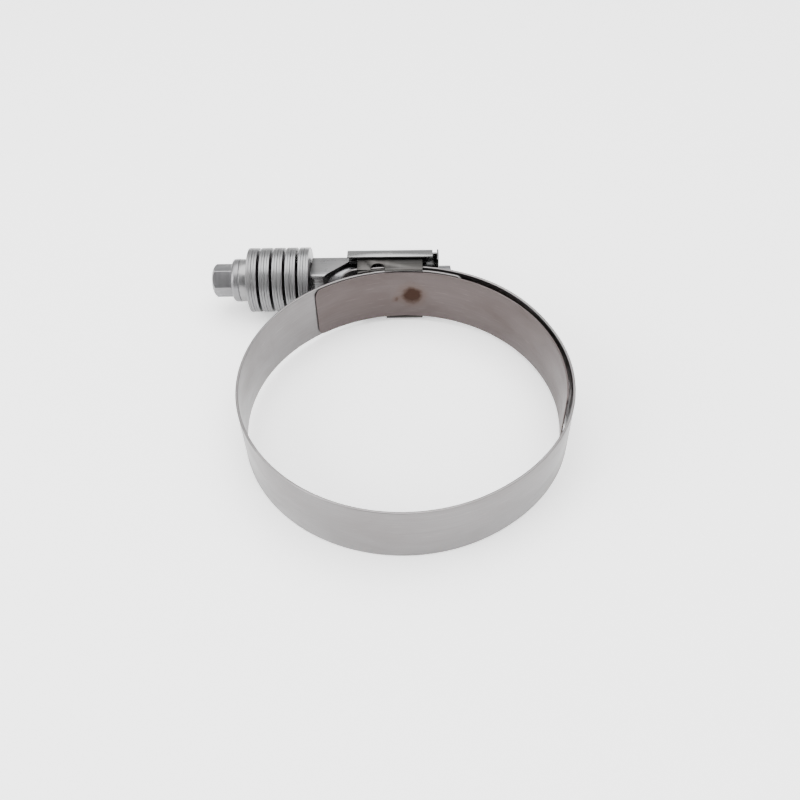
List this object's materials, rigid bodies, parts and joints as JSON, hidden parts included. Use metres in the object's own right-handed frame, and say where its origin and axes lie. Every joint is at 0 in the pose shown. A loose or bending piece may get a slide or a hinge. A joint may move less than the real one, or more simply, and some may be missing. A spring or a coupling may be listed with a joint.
{
  "type": "constant-tension worm-drive hose clamp",
  "caption": "Constant-tension worm-drive hose clamp: slotted band with a captive liner, folded housing, hex-head screw and a stack of disc springs.",
  "frame": {"origin": "centre of the clamping circle, at the middle of the band's width", "axes": "+Z along the hose's axis; the screw lies parallel to X on the +Y side, with its hex head towards -X"},
  "size_m": [0.0926, 0.093, 0.019],
  "materials": {
    "band_steel": "rolled stainless strip, bright satin",
    "liner_steel": "thin rolled stainless strip, slightly warm satin, brown heat tint at the spot welds",
    "polished_steel": "folded stainless sheet, smooth satin",
    "sheet_steel": "pressed stainless sheet, satin",
    "screw_steel": "cold-headed steel, dull plated grey",
    "spring_steel": "tumbled stainless disc springs, soft satin"
  },
  "bodies": {
    "root": {"cover": "polished_steel", "saddle": "sheet_steel", "worm_cradle": "sheet_steel", "liner": "liner_steel", "band_fixed_end": "band_steel"},
    "liner_wing": {"liner_wing": "liner_steel"},
    "band_left_upper": {"band_left_upper": "band_steel"},
    "band_left_middle": {"band_left_middle": "band_steel"},
    "band_left_front": {"band_left_front": "band_steel"},
    "band_right_front": {"band_right_front": "band_steel"},
    "band_right_middle": {"band_right_middle": "band_steel"},
    "band_right_upper": {"band_right_upper": "band_steel"},
    "band_tail": {"band_tail": "band_steel"},
    "thrust_washer": {"thrust_washer": "screw_steel"},
    "screw": {"screw": "screw_steel"},
    "disc_pair_01": {"disc_01": "spring_steel", "disc_02": "spring_steel"},
    "disc_pair_02": {"disc_03": "spring_steel", "disc_04": "spring_steel"},
    "disc_pair_03": {"disc_05": "spring_steel", "disc_06": "spring_steel"},
    "disc_pair_04": {"disc_07": "spring_steel", "disc_08": "spring_steel"},
    "disc_pair_05": {"disc_09": "spring_steel", "disc_10": "spring_steel"},
    "disc_pair_06": {"disc_11": "spring_steel", "disc_12": "spring_steel"},
    "disc_pair_07": {"disc_13": "spring_steel", "disc_14": "spring_steel"},
    "disc_pair_08": {"disc_15": "spring_steel", "disc_16": "spring_steel"},
    "disc_pair_09": {"disc_17": "spring_steel", "disc_18": "spring_steel"},
    "disc_pair_10": {"disc_19": "spring_steel", "disc_20": "spring_steel"}
  },
  "joints": [
    {"name": "spring_float", "type": "slide", "parent": "root", "child": "thrust_washer", "axis": [1, 0, 0], "range_m": [0, 0.002], "stiffness_N_per_m": 2000},
    {"name": "screw_turn", "type": "hinge", "parent": "thrust_washer", "child": "screw", "pos_m": [-0.045, 0.04498, 0], "axis": [1, 0, 0], "range_deg": [0, 1080]},
    {"name": "disc_pair_01_slide", "type": "slide", "parent": "root", "child": "disc_pair_01", "axis": [1, 0, 0], "range_m": [0, 0.000286]},
    {"name": "disc_pair_02_slide", "type": "slide", "parent": "root", "child": "disc_pair_02", "axis": [1, 0, 0], "range_m": [0, 0.000355]},
    {"name": "disc_pair_03_slide", "type": "slide", "parent": "root", "child": "disc_pair_03", "axis": [1, 0, 0], "range_m": [0, 0.000631]},
    {"name": "disc_pair_04_slide", "type": "slide", "parent": "root", "child": "disc_pair_04", "axis": [1, 0, 0], "range_m": [0, 0.0007]},
    {"name": "disc_pair_05_slide", "type": "slide", "parent": "root", "child": "disc_pair_05", "axis": [1, 0, 0], "range_m": [0, 0.000976]},
    {"name": "disc_pair_06_slide", "type": "slide", "parent": "root", "child": "disc_pair_06", "axis": [1, 0, 0], "range_m": [0, 0.00104]},
    {"name": "disc_pair_07_slide", "type": "slide", "parent": "root", "child": "disc_pair_07", "axis": [1, 0, 0], "range_m": [0, 0.00132]},
    {"name": "disc_pair_08_slide", "type": "slide", "parent": "root", "child": "disc_pair_08", "axis": [1, 0, 0], "range_m": [0, 0.00139]},
    {"name": "disc_pair_09_slide", "type": "slide", "parent": "root", "child": "disc_pair_09", "axis": [1, 0, 0], "range_m": [0, 0.00167]},
    {"name": "disc_pair_10_slide", "type": "slide", "parent": "root", "child": "disc_pair_10", "axis": [1, 0, 0], "range_m": [0, 0.00173]},
    {"name": "left_upper_flex", "type": "hinge", "parent": "root", "child": "band_left_upper", "pos_m": [-0.02373, 0.03037, 0], "axis": [0, 0, 1], "range_deg": [-1.12, 0]},
    {"name": "left_middle_flex", "type": "hinge", "parent": "band_left_upper", "child": "band_left_middle", "pos_m": [-0.03839, 0.00336, 0], "axis": [0, 0, 1], "range_deg": [0, 2.56]},
    {"name": "left_front_flex", "type": "hinge", "parent": "band_left_middle", "child": "band_left_front", "pos_m": [-0.02864, -0.02579, 0], "axis": [0, 0, 1], "range_deg": [0, 2.77]},
    {"name": "right_front_flex", "type": "hinge", "parent": "band_left_front", "child": "band_right_front", "pos_m": [0, -0.03854, 0], "axis": [0, 0, 1], "range_deg": [-1.04, 0]},
    {"name": "right_middle_flex", "type": "hinge", "parent": "band_right_front", "child": "band_right_middle", "pos_m": [0.03067, -0.02396, 0], "axis": [0, 0, 1], "range_deg": [0, 4.28]},
    {"name": "right_upper_flex", "type": "hinge", "parent": "band_right_middle", "child": "band_right_upper", "pos_m": [0.0382, 0.00952, 0], "axis": [0, 0, 1], "range_deg": [-0.72, 0]},
    {"name": "tail_flex", "type": "hinge", "parent": "band_right_upper", "child": "band_tail", "pos_m": [0.01503, 0.03721, 0], "axis": [0, 0, 1], "range_deg": [0, 3.93]},
    {"name": "liner_wing_flex", "type": "hinge", "parent": "root", "child": "liner_wing", "pos_m": [0.01307, 0.03579, 0], "axis": [0, 0, 1], "range_deg": [-3.93, 0]}
  ],
  "couplings": [
    {"joint": "disc_pair_01_slide", "follows": "spring_float", "ratio": 0.13793},
    {"joint": "disc_pair_02_slide", "follows": "spring_float", "ratio": 0.17241},
    {"joint": "disc_pair_03_slide", "follows": "spring_float", "ratio": 0.31034},
    {"joint": "disc_pair_04_slide", "follows": "spring_float", "ratio": 0.34483},
    {"joint": "disc_pair_05_slide", "follows": "spring_float", "ratio": 0.48276},
    {"joint": "disc_pair_06_slide", "follows": "spring_float", "ratio": 0.51724},
    {"joint": "disc_pair_07_slide", "follows": "spring_float", "ratio": 0.65517},
    {"joint": "disc_pair_08_slide", "follows": "spring_float", "ratio": 0.68966},
    {"joint": "disc_pair_09_slide", "follows": "spring_float", "ratio": 0.82759},
    {"joint": "disc_pair_10_slide", "follows": "spring_float", "ratio": 0.86207},
    {"joint": "left_upper_flex", "follows": "spring_float", "rad_per_m": -9.6431},
    {"joint": "left_middle_flex", "follows": "screw_turn", "ratio": 0.0023471},
    {"joint": "left_front_flex", "follows": "screw_turn", "ratio": 0.0025489},
    {"joint": "right_front_flex", "follows": "spring_float", "rad_per_m": -8.9059},
    {"joint": "right_middle_flex", "follows": "screw_turn", "ratio": 0.0039453},
    {"joint": "right_upper_flex", "follows": "spring_float", "rad_per_m": -6.1089},
    {"joint": "tail_flex", "follows": "screw_turn", "ratio": 0.0036187},
    {"joint": "liner_wing_flex", "follows": "screw_turn", "ratio": -0.0036187}
  ]
}
